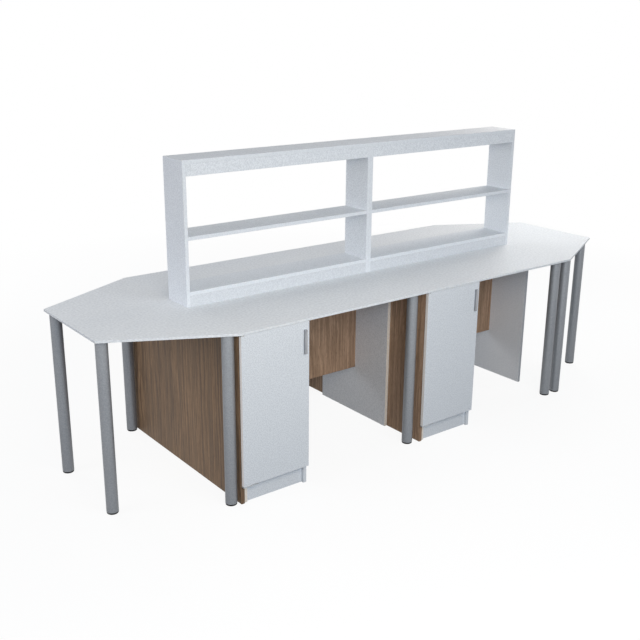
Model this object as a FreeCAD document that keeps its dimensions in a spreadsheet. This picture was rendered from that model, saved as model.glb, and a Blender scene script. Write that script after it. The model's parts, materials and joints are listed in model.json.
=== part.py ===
"""Island laboratory bench with a reagent shelf along its middle.

A 2 m worktop with a tapered table at each end stands on round tube legs and board panels.
Each half of the bench has a double-ended cupboard with one door per side, a knee space with
a modesty panel, and a see-through shelf on the centre line of the top.
X runs along the bench, Y from the front to the back and Z up from the floor.
"""
import FreeCAD, Part
import Sketcher
import os

SIZES = [
    ("bench_length", 2000, "worktop between the two end tables"),
    ("bench_depth", 1000, "worktop from front edge to back edge"),
    ("bench_height", 750, "floor to the working surface"),
    ("top_thickness", 10, "compact laminate top"),
    ("end_length", 490, "end table, along the bench"),
    ("end_width", 500, "short outer side of an end table"),
    ("edge_round", 0.8, "rounding of a board's edges"),
    ("board", 16, "thickness of every upright, floor and shelf board"),
    ("door_thickness", 16, "cupboard door"),
    ("door_gap", 2.5, "between a closed door and the carcass"),
    ("door_margin", 1, "door edge inside the cupboard's outline"),
    ("cabinet_width", 332, "cupboard with its wood panel"),
    ("liner_setback", 6, "liner front behind the carcass front"),
    ("plinth_setback", 14, "plinth front behind the carcass front"),
    ("plinth_height", 83, "floor to the underside of the cupboard floor"),
    ("inner_shelf_height", 400, "floor to the underside of the cupboard shelf"),
    ("inner_shelf_setback", 22, "shelf front behind the carcass front"),
    ("side_panel_depth", 500, "white panel that ends each knee space"),
    ("modesty_height", 498, "modesty board below the top"),
    ("shelf_height", 616, "reagent shelf above the worktop"),
    ("shelf_depth", 160, "reagent shelf from front to back"),
    ("shelf_offset", 8, "middle of the shelf ahead of the bench's middle"),
    ("fascia_height", 50, "fascia under the top board and under the base board"),
    ("middle_shelf_height", 285, "worktop to the underside of the middle shelf"),
    ("leg_diameter", 50, "leg tube, outside"),
    ("leg_wall", 2, "leg tube wall"),
    ("leg_edge", 50, "desk leg's axis from the front edge and from its bay's end"),
    ("corner_leg_offset", 30, "corner leg's axis outside the worktop's end"),
    ("end_leg_inset", 38, "outer leg's axis from the short side"),
    ("end_leg_edge", 28, "outer leg's axis from the corner, along the short side"),
    ("socket_height", 30, "plug under the top that the tube slips over"),
    ("socket_wall", 4, "wall and roof of that plug"),
    ("socket_clearance", 0.1, "between plug and tube"),
    ("foot_diameter", 48, "levelling foot"),
    ("foot_height", 8, "levelling foot's disc"),
    ("foot_round", 3, "rounding under the disc"),
    ("foot_gap", 0.3, "disc to tube when screwed home"),
    ("foot_travel", 20, "how far a foot screws out"),
    ("stem_diameter", 10, "threaded stem of a foot"),
    ("stem_spare", 6, "stem left above its nut when screwed right out"),
    ("stem_clearance", 0.05, "radial clearance of stem and nut"),
    ("nut_height", 20, "threaded plug in the bottom of a tube"),
    ("handle_length", 104, "handle from end to end"),
    ("handle_width", 12, "width of the handle's grip"),
    ("handle_grip", 9, "thickness of the handle's grip"),
    ("handle_reach", 12, "door face to the front of the grip"),
    ("handle_undercut", 2, "grip beyond its narrower stem, on each side"),
    ("handle_round", 1.5, "front edges of the handle"),
    ("handle_inset", 23, "handle's middle from the door's free edge"),
    ("handle_drop", 80, "handle's middle below the door's top edge"),
    ("pivot_side", 6, "pivot axis from the door's hinge edge"),
    ("pivot_depth", 9, "pivot axis from the door's back"),
    ("pin_diameter", 6, "pivot pin"),
    ("pin_clearance", 0.05, "radial clearance of pin and plate"),
    ("pin_end_gap", 0.4, "pin end short of the plate's far side"),
    ("plate_thickness", 3, "fixed pivot plate"),
    ("plate_length", 74, "fixed pivot plate along the door"),
    ("plate_margin", 2, "plate edge inside the door's outline"),
    ("plate_clearance", 0.8, "plate clear of the boards beside it"),
    ("leaf_thickness", 2, "pivot leaf on the door's edge"),
    ("leaf_length", 40, "pivot leaf along the door"),
    ("leaf_gap", 0.4, "leaf to plate"),
    ("bracket_leg", 28, "angle bracket's two legs"),
    ("bracket_thickness", 2.5, "angle bracket"),
    ("bracket_width", 40, "angle bracket along the board"),
    ("bracket_inset", 90, "bracket's near end from the board's front"),
]

doc = FreeCAD.newDocument("LabBench")
sheet = doc.addObject("Spreadsheet::Sheet", "Sizes")
for row, (alias, size, meaning) in enumerate(SIZES, start=1):
    sheet.set("A%d" % row, alias)
    sheet.set("B%d" % row, str(size))
    sheet.set("C%d" % row, meaning)
    sheet.setAlias("B%d" % row, alias)
doc.recompute()

# Places that several pieces share, as expressions of the sheet.
HALF_LENGTH = "Sizes.bench_length / 2"
HALF_DEPTH = "Sizes.bench_depth / 2"
UNDERSIDE = "(Sizes.bench_height - Sizes.top_thickness)"
CARCASS_FRONT = "(Sizes.door_thickness + Sizes.door_gap - Sizes.bench_depth / 2)"
CARCASS_DEPTH = "(Sizes.bench_depth - 2 * Sizes.door_thickness - 2 * Sizes.door_gap)"
PLATE_STACK = "(Sizes.plate_thickness + Sizes.leaf_gap + Sizes.leaf_thickness)"
DOOR_BOTTOM = "(Sizes.plinth_height + Sizes.leaf_gap + Sizes.leaf_thickness)"
DOOR_TOP = "(%s - %s)" % (UNDERSIDE, PLATE_STACK)
INNER_WIDTH = "(Sizes.cabinet_width - 3 * Sizes.board)"
TUBE_BOTTOM = "(Sizes.foot_height + Sizes.foot_gap)"
BORE_RADIUS = "(Sizes.leg_diameter / 2 - Sizes.leg_wall)"
BAYS = {"left": "(-Sizes.bench_length / 2)", "right": "0"}

NEARLY_ZERO = 0.001
nodes = []


def number(expression):
    """The present value of an expression of the sheet."""
    return float(sheet.evalExpression(expression))


def keep(piece, name):
    """Name a finished piece and list it among the parts to write."""
    piece.Label = name
    nodes.append(piece)
    return piece


def place(piece, corner):
    """Bind a piece's place to three expressions."""
    for axis, expression in zip("xyz", corner):
        piece.setExpression(".Placement.Base." + axis, expression)


def mirror(source, across, plane="0"):
    """The mirror image of a piece across the plane at right angles to one axis."""
    image = doc.addObject("Part::Mirroring", source.Name + "_image")
    image.Source = source
    image.Normal = FreeCAD.Vector(*(float(axis == across) for axis in "xyz"))
    if plane != "0":
        image.setExpression(".Base." + across, plane)
    return image


def group(name, pieces):
    """Several like pieces, kept as separate solids of one part."""
    compound = doc.addObject("Part::Compound", name)
    compound.Links = pieces
    return keep(compound, name)


def new_body(name):
    return doc.addObject("PartDesign::Body", name)


def new_sketch(body, plane):
    """A sketch on one of the body's own origin planes."""
    sketch = body.newObject("Sketcher::SketchObject", body.Name + "_sketch")
    role = plane + "_Plane"
    datum = [feature for feature in body.Origin.OriginFeatures if feature.Role == role][0]
    sketch.AttachmentSupport = [(datum, "")]
    sketch.MapMode = "FlatFace"
    return sketch


def draw_outline(sketch, points):
    """A closed outline through points given as pairs of expressions, none of them negative."""
    corners = [FreeCAD.Vector(number(x), number(y), 0) for x, y in points]
    for start, end in zip(corners, corners[1:] + corners[:1]):
        sketch.addGeometry(Part.LineSegment(start, end), False)
    count = len(points)
    for index, (x, y) in enumerate(points):
        sketch.addConstraint(Sketcher.Constraint("Coincident", index, 2, (index + 1) % count, 1))
        for kind, axis, expression in (("DistanceX", -2, x), ("DistanceY", -1, y)):
            if expression == "0":
                sketch.addConstraint(Sketcher.Constraint("PointOnObject", index, 1, axis))
                continue
            rule = Sketcher.Constraint(kind, -1, 1, index, 1, number(expression))
            place_of_rule = sketch.addConstraint(rule)
            sketch.setExpression("Constraints[%d]" % place_of_rule, expression)


def draw_circle(sketch, radius, centre=("0", "0")):
    """A circle with its radius and centre bound to expressions."""
    middle = FreeCAD.Vector(number(centre[0]), number(centre[1]), 0)
    up = FreeCAD.Vector(0, 0, 1)
    ring = sketch.addGeometry(Part.Circle(middle, up, number(radius)), False)
    rule = sketch.addConstraint(Sketcher.Constraint("Radius", ring, number(radius)))
    sketch.setExpression("Constraints[%d]" % rule, radius)
    if centre == ("0", "0"):
        sketch.addConstraint(Sketcher.Constraint("Coincident", ring, 3, -1, 1))
        return
    for kind, expression in zip(("DistanceX", "DistanceY"), centre):
        place_rule = Sketcher.Constraint(kind, -1, 1, ring, 3, number(expression))
        rule = sketch.addConstraint(place_rule)
        sketch.setExpression("Constraints[%d]" % rule, expression)


def pad(body, sketch, length, reverse=False):
    feature = body.newObject("PartDesign::Pad", body.Name + "_pad")
    feature.Profile = sketch
    feature.setExpression("Length", length)
    feature.Reversed = reverse
    doc.recompute()
    return feature


def soften(body, feature, radius, wanted=lambda edge: True):
    """Round the edges of a feature that the test picks."""
    picked = [edge for edge in enumerate(feature.Shape.Edges, start=1) if wanted(edge[1])]
    fillet = body.newObject("PartDesign::Fillet", body.Name + "_fillet")
    fillet.Base = (feature, ["Edge%d" % index for index, edge in picked])
    fillet.setExpression("Radius", radius)
    doc.recompute()
    return fillet


def board(name, corner, size):
    """A plain board without softened edges, such as one held between two others."""
    box = doc.addObject("Part::Box", name)
    for side, expression in zip(("Length", "Width", "Height"), size):
        box.setExpression(side, expression)
    place(box, corner)
    return box


def slab(name, corner, size):
    """A board with a band on its edges, all of them softened."""
    body = new_body(name)
    outline = new_sketch(body, "XY")
    length, width, height = size
    draw_outline(outline, [("0", "0"), (length, "0"), (length, width), ("0", width)])
    soften(body, pad(body, outline, height), "Sizes.edge_round")
    place(body, corner)
    return body


def turned(name, points):
    """A solid turned about the vertical axis from half of its section."""
    body = new_body(name)
    outline = new_sketch(body, "XZ")
    draw_outline(outline, points)
    feature = body.newObject("PartDesign::Revolution", name + "_turning")
    feature.Profile = outline
    feature.ReferenceAxis = (outline, ["V_Axis"])
    doc.recompute()
    return body


def runs_along_bench(edge):
    return edge.BoundBox.YLength < NEARLY_ZERO and edge.BoundBox.ZLength < NEARLY_ZERO


def stands_upright(edge):
    return edge.BoundBox.XLength < NEARLY_ZERO and edge.BoundBox.YLength < NEARLY_ZERO


# --- Worktop -----------------------------------------------------------------------------


def make_worktop():
    """The long middle board and a tapered end table at each end, edge to edge."""
    middle = new_body("top_main")
    outline = new_sketch(middle, "XY")
    length, depth = "Sizes.bench_length", "Sizes.bench_depth"
    draw_outline(outline, [("0", "0"), (length, "0"), (length, depth), ("0", depth)])
    plate = pad(middle, outline, "Sizes.top_thickness")
    soften(middle, plate, "Sizes.edge_round", runs_along_bench)
    place(middle, ("-" + HALF_LENGTH, "-" + HALF_DEPTH, UNDERSIDE))
    keep(middle, "top_main")

    end = new_body("top_end_right")
    outline = new_sketch(end, "XY")
    taper = "(Sizes.bench_depth - Sizes.end_width) / 2"
    far_corner = "(Sizes.bench_depth + Sizes.end_width) / 2"
    reach = "Sizes.end_length"
    draw_outline(outline, [("0", "0"), (reach, taper), (reach, far_corner), ("0", depth)])
    plate = pad(end, outline, "Sizes.top_thickness")
    off_the_joint = lambda edge: edge.CenterOfMass.x > NEARLY_ZERO
    soften(end, plate, "Sizes.edge_round", off_the_joint)
    place(end, (HALF_LENGTH, "-" + HALF_DEPTH, UNDERSIDE))
    keep(end, "top_end_right")
    keep(mirror(end, "x"), "top_end_left")


# --- Upright boards ----------------------------------------------------------------------


def make_uprights():
    """Wood panels, the white panels of the knee spaces and the modesty boards."""
    height = UNDERSIDE
    for name, start in (("left", BAYS["left"]), ("centre", BAYS["right"])):
        panel = slab("wood_panel_" + name, (start, CARCASS_FRONT, "0"),
                     ("Sizes.board", CARCASS_DEPTH, height))
        keep(panel, "wood_panel_" + name)

    depth_start = "-Sizes.side_panel_depth / 2"
    panel_ends = {"centre": "0", "right": "(%s - Sizes.board)" % HALF_LENGTH}
    for name, end in panel_ends.items():
        panel = slab("side_panel_" + name, (end + " - Sizes.board", depth_start, "0"),
                     ("Sizes.board", "Sizes.side_panel_depth", height))
        keep(panel, "side_panel_" + name)

    bottom = UNDERSIDE + " - Sizes.modesty_height"
    for bay, panel_end in (("left", panel_ends["centre"]), ("right", panel_ends["right"])):
        start = BAYS[bay] + " + Sizes.cabinet_width"
        width = "%s - Sizes.board - (%s)" % (panel_end, start)
        front = slab("modesty_front_" + bay, (start, "-Sizes.board", bottom),
                     (width, "Sizes.board", "Sizes.modesty_height"))
        group("modesty_boards_" + bay, [front, mirror(front, "y")])


# --- Cupboards ---------------------------------------------------------------------------


def make_carcasses():
    """The fixed boards of the two double-ended cupboards."""
    floors, dividers, shelves, plinths = [], [], [], []
    floor_top = "(Sizes.plinth_height + Sizes.board)"
    for bay, start in BAYS.items():
        liner_start = start + " + Sizes.board"
        liner = slab("cabinet_liner_" + bay,
                     (liner_start, CARCASS_FRONT + " + Sizes.liner_setback", "0"),
                     ("Sizes.board", CARCASS_DEPTH + " - 2 * Sizes.liner_setback", UNDERSIDE))
        keep(liner, "cabinet_liner_" + bay)
        side_start = start + " + Sizes.cabinet_width - Sizes.board"
        side = slab("cabinet_side_" + bay, (side_start, CARCASS_FRONT, "0"),
                    ("Sizes.board", CARCASS_DEPTH, UNDERSIDE))
        keep(side, "cabinet_side_" + bay)

        inside = start + " + 2 * Sizes.board"
        floors.append(board("cabinet_floor_" + bay,
                            (inside, CARCASS_FRONT, "Sizes.plinth_height"),
                            (INNER_WIDTH, CARCASS_DEPTH, "Sizes.board")))
        dividers.append(board("cabinet_divider_" + bay,
                              (inside, "-Sizes.board / 2", floor_top),
                              (INNER_WIDTH, "Sizes.board", UNDERSIDE + " - " + floor_top)))
        shelf_front = CARCASS_FRONT + " + Sizes.inner_shelf_setback"
        shelf = board("cabinet_shelf_" + bay, (inside, shelf_front, "Sizes.inner_shelf_height"),
                      (INNER_WIDTH, "-Sizes.board / 2 - (%s)" % shelf_front, "Sizes.board"))
        shelves += [shelf, mirror(shelf, "y")]
        plinth_front = CARCASS_FRONT + " + Sizes.plinth_setback"
        plinth = board("plinth_" + bay, (inside, plinth_front, "0"),
                       (INNER_WIDTH, "Sizes.board", "Sizes.plinth_height"))
        plinths += [plinth, mirror(plinth, "y")]
    group("cabinet_floors", floors)
    group("cabinet_dividers", dividers)
    group("cabinet_shelves", shelves)
    group("cabinet_plinths", plinths)


def make_angle_bracket(name, corner, facing_left):
    """A steel angle under the top: one leg on the top, one on a board's face."""
    body = new_body(name)
    outline = new_sketch(body, "XZ")
    leg, skin = "Sizes.bracket_leg", "Sizes.bracket_thickness"
    inner = "Sizes.bracket_leg - Sizes.bracket_thickness"
    if facing_left:
        points = [("0", inner), (inner, inner), (inner, "0"), (leg, "0"), (leg, leg), ("0", leg)]
    else:
        points = [("0", "0"), (skin, "0"), (skin, inner), (leg, inner), (leg, leg), ("0", leg)]
    draw_outline(outline, points)
    pad(body, outline, "Sizes.bracket_width", reverse=True)
    place(body, corner)
    return body


def make_brackets():
    """Angles that tie the cupboards' sides and the right-hand panel to the top."""
    brackets = []
    below_top = UNDERSIDE + " - Sizes.bracket_leg"
    near = CARCASS_FRONT + " + Sizes.bracket_inset"
    for bay, start in BAYS.items():
        beside_liner = start + " + 2 * Sizes.board"
        beside_side = start + " + Sizes.cabinet_width - Sizes.board - Sizes.bracket_leg"
        brackets.append(make_angle_bracket("bracket_liner_" + bay,
                                           (beside_liner, near, below_top), False))
        brackets.append(make_angle_bracket("bracket_side_" + bay,
                                           (beside_side, near, below_top), True))
    panel_near = "-Sizes.side_panel_depth / 2 + Sizes.bracket_inset"
    panel_face = HALF_LENGTH + " - Sizes.board"
    brackets.append(make_angle_bracket("bracket_panel", (panel_face, panel_near, below_top), False))
    group("angle_brackets", brackets + [mirror(bracket, "y") for bracket in brackets])


# --- Doors -------------------------------------------------------------------------------


def make_handle(name, corner):
    """A solid bar handle: a wide grip on a narrower stem, which fingertips hold from behind."""
    body = new_body(name)
    profile = new_sketch(body, "XY")
    width, grip, reach = "Sizes.handle_width", "Sizes.handle_grip", "Sizes.handle_reach"
    stem_left = "Sizes.handle_undercut"
    stem_right = "Sizes.handle_width - Sizes.handle_undercut"
    draw_outline(profile, [("0", "0"), (width, "0"), (width, grip), (stem_right, grip),
                           (stem_right, reach), (stem_left, reach), (stem_left, grip),
                           ("0", grip)])
    bar = pad(body, profile, "Sizes.handle_length")
    front_edge = lambda edge: edge.BoundBox.YMax < NEARLY_ZERO and stands_upright(edge)
    rounded = soften(body, bar, "Sizes.handle_round", front_edge)
    soften(body, rounded, "Sizes.edge_round")
    place(body, corner)
    return body


def make_pivot_leaf(name, corner):
    """The plate on the door's upper edge with the pin that the door turns on."""
    body = new_body(name)
    outline = new_sketch(body, "XY")
    length = "Sizes.leaf_length"
    width = "Sizes.door_thickness - 2 * Sizes.plate_margin"
    draw_outline(outline, [("0", "0"), (length, "0"), (length, width), ("0", width)])
    pad(body, outline, "Sizes.leaf_thickness")
    pin = new_sketch(body, "XY")
    from_front = "Sizes.door_thickness - Sizes.pivot_depth - Sizes.plate_margin"
    draw_circle(pin, "Sizes.pin_diameter / 2", ("Sizes.pivot_side", from_front))
    pad(body, pin, PLATE_STACK + " - Sizes.pin_end_gap")
    place(body, corner)
    return body


def make_pivot_plate(name, corner):
    """The fixed plate with the pin's hole, cut back round the wood panel and the liner."""
    body = new_body(name)
    outline = new_sketch(body, "XY")
    long_side = "Sizes.plate_length"
    tongue = "Sizes.door_thickness + Sizes.door_gap - Sizes.plate_margin - Sizes.plate_clearance"
    back = ("Sizes.door_thickness + Sizes.door_gap - Sizes.plate_margin"
            " + Sizes.plinth_setback - Sizes.plate_clearance")
    step = "2 * Sizes.board - Sizes.door_margin + Sizes.plate_clearance"
    draw_outline(outline, [("0", "0"), (long_side, "0"), (long_side, back), (step, back),
                           (step, tongue), ("0", tongue)])
    plate = pad(body, outline, "Sizes.plate_thickness")
    hole_sketch = new_sketch(body, "XY")
    from_front = "Sizes.door_thickness - Sizes.pivot_depth - Sizes.plate_margin"
    hole_radius = "Sizes.pin_diameter / 2 + Sizes.pin_clearance"
    draw_circle(hole_sketch, hole_radius, ("Sizes.pivot_side", from_front))
    hole = body.newObject("PartDesign::Pocket", name + "_hole")
    hole.Profile = hole_sketch
    hole.Type = "ThroughAll"
    hole.Reversed = True
    doc.recompute()
    if hole.Shape.Volume >= plate.Shape.Volume:
        raise ValueError(name + ": the pin's hole cut nothing")
    place(body, corner)
    return body


def make_doors():
    """Four doors with a handle and a pair of pivots each, and the plates that carry them."""
    plates = []
    door_width = "Sizes.cabinet_width - 2 * Sizes.door_margin"
    door_face = "-" + HALF_DEPTH
    mid_door = "(%s + %s) / 2" % (DOOR_TOP, DOOR_BOTTOM)
    for bay, start in BAYS.items():
        hinge_edge = start + " + Sizes.door_margin"
        door = slab("door_front_" + bay, (hinge_edge, door_face, DOOR_BOTTOM),
                    (door_width, "Sizes.door_thickness", DOOR_TOP + " - " + DOOR_BOTTOM))

        handle_start = (hinge_edge + " + " + door_width
                        + " - Sizes.handle_inset - Sizes.handle_width / 2")
        handle_bottom = "%s - Sizes.handle_drop - Sizes.handle_length / 2" % DOOR_TOP
        handle = make_handle("handle_front_" + bay,
                             (handle_start, door_face + " - Sizes.handle_reach", handle_bottom))

        plate_front = door_face + " + Sizes.plate_margin"
        upper_leaf = make_pivot_leaf("leaf_" + bay, (hinge_edge, plate_front, DOOR_TOP))
        pivots = doc.addObject("Part::Compound", "pivots_front_" + bay)
        pivots.Links = [upper_leaf, mirror(upper_leaf, "z", mid_door)]

        for piece, kind in ((door, "door"), (handle, "handle"), (pivots, "pivots")):
            keep(piece, "%s_front_%s" % (kind, bay))
            keep(mirror(piece, "y"), "%s_back_%s" % (kind, bay))

        upper_plate = make_pivot_plate("plate_" + bay, (hinge_edge, plate_front,
                                       UNDERSIDE + " - Sizes.plate_thickness"))
        pair = [upper_plate, mirror(upper_plate, "z", mid_door)]
        plates += pair + [mirror(plate, "y") for plate in pair]
    group("pivot_plates", plates)


# --- Legs --------------------------------------------------------------------------------

LEG_SPOTS = {
    "end_left": ("-%s - Sizes.end_length + Sizes.end_leg_inset" % HALF_LENGTH,
                 "-Sizes.end_width / 2 + Sizes.end_leg_edge"),
    "corner_left": ("-%s - Sizes.corner_leg_offset" % HALF_LENGTH,
                    "-%s + Sizes.leg_edge" % HALF_DEPTH),
    "desk_left": ("-Sizes.leg_edge", "-%s + Sizes.leg_edge" % HALF_DEPTH),
    "desk_right": ("%s - Sizes.leg_edge" % HALF_LENGTH, "-%s + Sizes.leg_edge" % HALF_DEPTH),
    "corner_right": ("%s + Sizes.corner_leg_offset" % HALF_LENGTH,
                     "-%s + Sizes.leg_edge" % HALF_DEPTH),
    "end_right": ("%s + Sizes.end_length - Sizes.end_leg_inset" % HALF_LENGTH,
                  "-Sizes.end_width / 2 + Sizes.end_leg_edge"),
}


def make_tube(name, spot):
    """A leg's tube, from just above its foot to the underside of the top."""
    body = new_body(name)
    section = new_sketch(body, "XY")
    draw_circle(section, "Sizes.leg_diameter / 2")
    draw_circle(section, BORE_RADIUS)
    pad(body, section, "%s - %s" % (UNDERSIDE, TUBE_BOTTOM))
    place(body, spot + (TUBE_BOTTOM,))
    return body


def make_socket(name, spot):
    """The hollow plug under the top that carries a tube's upper end."""
    outer = BORE_RADIUS + " - Sizes.socket_clearance"
    inner = outer + " - Sizes.socket_wall"
    roof = "Sizes.socket_height - Sizes.socket_wall"
    body = turned(name, [("0", roof), (inner, roof), (inner, "0"), (outer, "0"),
                         (outer, "Sizes.socket_height"), ("0", "Sizes.socket_height")])
    place(body, spot + (UNDERSIDE + " - Sizes.socket_height",))
    return body


def make_nut(name, spot):
    """The threaded plug in a tube's lower end, level with the end."""
    body = new_body(name)
    section = new_sketch(body, "XY")
    draw_circle(section, BORE_RADIUS)
    draw_circle(section, "Sizes.stem_diameter / 2 + Sizes.stem_clearance")
    pad(body, section, "Sizes.nut_height")
    place(body, spot + (TUBE_BOTTOM,))
    return body


def make_foot(name, spot):
    """A levelling foot: a round-edged disc with its stem."""
    disc = "Sizes.foot_diameter / 2"
    stem = "Sizes.stem_diameter / 2"
    stem_top = TUBE_BOTTOM + " + Sizes.nut_height + Sizes.foot_travel + Sizes.stem_spare"
    body = turned(name, [("0", "0"), (disc, "0"), (disc, "Sizes.foot_height"),
                         (stem, "Sizes.foot_height"), (stem, stem_top), ("0", stem_top)])
    lower_rim = lambda edge: edge.BoundBox.ZMax < NEARLY_ZERO and edge.Closed
    soften(body, body.Tip, "Sizes.foot_round", lower_rim)
    place(body, spot + ("0",))
    return body


def make_legs():
    """Twelve tubes in four groups, each with a socket, a nut and a foot that screws out."""
    tubes, sockets, nuts = {}, [], []
    for spot_name, spot in LEG_SPOTS.items():
        tube = make_tube("tube_" + spot_name, spot)
        socket = make_socket("socket_" + spot_name, spot)
        nut = make_nut("nut_" + spot_name, spot)
        foot = make_foot("foot_" + spot_name, spot)
        tubes[spot_name, "front"] = tube
        tubes[spot_name, "back"] = mirror(tube, "y")
        sockets += [socket, mirror(socket, "y")]
        nuts += [nut, mirror(nut, "y")]
        keep(foot, "foot_%s_front" % spot_name)
        keep(mirror(foot, "y"), "foot_%s_back" % spot_name)
    for side in ("front", "back"):
        group("legs_desk_" + side, [tubes[spot, side] for spot in ("desk_left", "desk_right")])
    for end in ("left", "right"):
        spots = ("end_" + end, "corner_" + end)
        group("legs_end_" + end, [tubes[spot, side] for spot in spots
                                  for side in ("front", "back")])
    group("leg_sockets", sockets)
    group("leg_nuts", nuts)


# --- Reagent shelf -----------------------------------------------------------------------


def make_reagent_shelf():
    """Two shelf units side by side, open to the front and the back."""
    front = "(-Sizes.shelf_depth / 2 - Sizes.shelf_offset)"
    depth = "Sizes.shelf_depth"
    half = "((Sizes.bench_length - Sizes.board) / 2)"
    upright_height = "Sizes.shelf_height - Sizes.board"
    clear_width = half + " - 2 * Sizes.board"
    base_bottom = "Sizes.bench_height + Sizes.fascia_height"
    top_bottom = "Sizes.bench_height + " + upright_height
    middle_bottom = "Sizes.bench_height + Sizes.middle_shelf_height"
    fascias = []
    for unit, start in (("left", BAYS["left"]), ("right", BAYS["left"] + " + " + half)):
        for end, upright in (("left", start), ("right", start + " + " + half + " - Sizes.board")):
            name = "shelf_upright_%s_%s" % (unit, end)
            keep(slab(name, (upright, front, "Sizes.bench_height"),
                      ("Sizes.board", depth, upright_height)), name)
        inside = start + " + Sizes.board"
        for kind, left, bottom, width in (("top", start, top_bottom, half),
                                          ("middle", inside, middle_bottom, clear_width),
                                          ("base", inside, base_bottom, clear_width)):
            name = "shelf_%s_%s" % (kind, unit)
            keep(slab(name, (left, front, bottom), (width, depth, "Sizes.board")), name)
        for level, bottom in (("lower", "Sizes.bench_height"),
                              ("upper", top_bottom + " - Sizes.fascia_height")):
            for side, face in (("front", front),
                               ("back", front + " + Sizes.shelf_depth - Sizes.board")):
                fascias.append(slab("fascia_%s_%s_%s" % (level, side, unit),
                                    (inside, face, bottom),
                                    (clear_width, "Sizes.board", "Sizes.fascia_height")))
    group("shelf_fascias", fascias)


def check_document():
    """Stop if any object failed to build."""
    for piece in doc.Objects:
        if "Invalid" in piece.State or "Error" in piece.State:
            raise RuntimeError("%s failed: %s" % (piece.Name, piece.State))
    for piece in nodes:
        if piece.Shape.isNull() or not piece.Shape.isValid():
            raise RuntimeError("%s has no valid shape" % piece.Label)


def write_parts():
    os.makedirs("parts", exist_ok=True)
    for piece in nodes:
        piece.Shape.exportStep("parts/%s.step" % piece.Label)


make_worktop()
make_uprights()
make_carcasses()
make_brackets()
make_doors()
make_legs()
make_reagent_shelf()
doc.recompute()
check_document()
write_parts()
print(len(nodes), "parts")
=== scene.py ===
"""Finishes, small fittings, light and camera of the island laboratory bench.

Every board, tube and fitting of the bench comes with the frame. This script gives each one the
finish of its real material, adds the small fittings that the frame leaves out, and sets up the
room that the bench is seen in. Lengths are in metres unless a name ends in _mm or _MM.
"""
import json
import math

import bmesh
import bpy
from mathutils import Matrix, Vector


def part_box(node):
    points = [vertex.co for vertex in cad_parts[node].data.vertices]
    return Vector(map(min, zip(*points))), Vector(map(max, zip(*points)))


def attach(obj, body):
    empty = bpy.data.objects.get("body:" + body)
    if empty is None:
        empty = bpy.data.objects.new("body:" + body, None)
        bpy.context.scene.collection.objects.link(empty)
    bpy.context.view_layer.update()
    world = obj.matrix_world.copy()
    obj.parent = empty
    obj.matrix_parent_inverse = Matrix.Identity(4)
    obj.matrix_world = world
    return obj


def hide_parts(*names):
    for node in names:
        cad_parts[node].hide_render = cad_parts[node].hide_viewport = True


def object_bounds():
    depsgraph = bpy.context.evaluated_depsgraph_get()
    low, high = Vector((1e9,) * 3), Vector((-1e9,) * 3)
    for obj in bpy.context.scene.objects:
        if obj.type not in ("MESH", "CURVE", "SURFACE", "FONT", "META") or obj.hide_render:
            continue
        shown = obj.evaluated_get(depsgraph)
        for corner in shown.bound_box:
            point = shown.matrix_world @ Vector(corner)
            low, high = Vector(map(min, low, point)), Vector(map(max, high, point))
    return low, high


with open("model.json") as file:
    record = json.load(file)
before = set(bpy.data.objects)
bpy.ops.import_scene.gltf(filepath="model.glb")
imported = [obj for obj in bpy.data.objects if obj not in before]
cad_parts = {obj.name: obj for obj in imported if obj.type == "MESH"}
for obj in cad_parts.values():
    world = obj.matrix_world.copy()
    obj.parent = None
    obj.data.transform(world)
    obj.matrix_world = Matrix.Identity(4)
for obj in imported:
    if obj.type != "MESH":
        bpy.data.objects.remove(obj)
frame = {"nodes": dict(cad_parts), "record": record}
cad_low, cad_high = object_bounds()

MM = 0.001
X, Y, Z = 0, 1, 2

# --- Camera ------------------------------------------------------------------------------

CAMERA_PLACE = (-2.812, -3.349, 1.905)
CAMERA_HEADING = 37.64  # degrees clockwise from the +Y axis
CAMERA_TILT = -18.06
CAMERA_ROLL = 0.49
CAMERA_LENS_MM = 51.84


def set_camera():
    """A standing person's view of the front and the left end."""
    data = bpy.data.cameras.new("camera")
    data.lens = CAMERA_LENS_MM
    camera = bpy.data.objects.new("camera", data)
    bpy.context.scene.collection.objects.link(camera)
    heading = Matrix.Rotation(-math.radians(CAMERA_HEADING), 4, "Z")
    tilt = Matrix.Rotation(math.radians(90 + CAMERA_TILT), 4, "X")
    roll = Matrix.Rotation(math.radians(CAMERA_ROLL), 4, "Z")
    camera.matrix_world = Matrix.Translation(CAMERA_PLACE) @ heading @ tilt @ roll
    bpy.context.scene.camera = camera
    bpy.context.scene.view_settings.view_transform = "Standard"


# --- Light and room ----------------------------------------------------------------------

WHITE = (1.0, 1.0, 1.0, 1.0)
LAMPS = (
    # name, place, point it aims at, side of the lamp, watts, colour
    ("key_lamp", (-2.6, -4.0, 2.0), (-0.3, 0.0, 0.7), 1.5, 64.8, "#D7E9FF"),
    ("near_lamp", (-1.6, -2.6, 2.0), (-0.6, -0.4, 0.8), 1.5, 21.8, "#FFEAC3"),
    ("front_lamp", (-0.2, -3.0, 2.0), (0.1, -0.4, 0.8), 1.5, 25.8, "#F7FBFF"),
    ("left_lamp", (-4.8, 0.3, 2.0), (0.0, 0.0, 0.7), 2.4, 47.0, "#FDFBFF"),
    ("right_lamp", (4.2, -1.0, 1.3), (1.0, -0.3, 0.5), 1.5, 21.0, "#FFFFFF"),
    ("end_table_lamp", (2.0, 0.3, 2.2), (1.3, 0.0, 0.75), 0.8, 14.6, "#FFF4EA"),
    ("window_lamp", (2.6, 0.9, 1.35), (1.35, 0.1, 0.75), 0.8, 3.5, "#D3EFFF"),
    ("back_lamp", (-1.6, 4.2, 2.2), (0.0, 0.0, 0.7), 2.4, 50.0, "#FFFFFF"),
)
ROOM_LIGHT = "#EEF5FF"
ROOM_STRENGTH = 0.303
FLOOR_SIDE = 40.0
FLOOR_SHOWN = "#FFFFFF"
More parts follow.
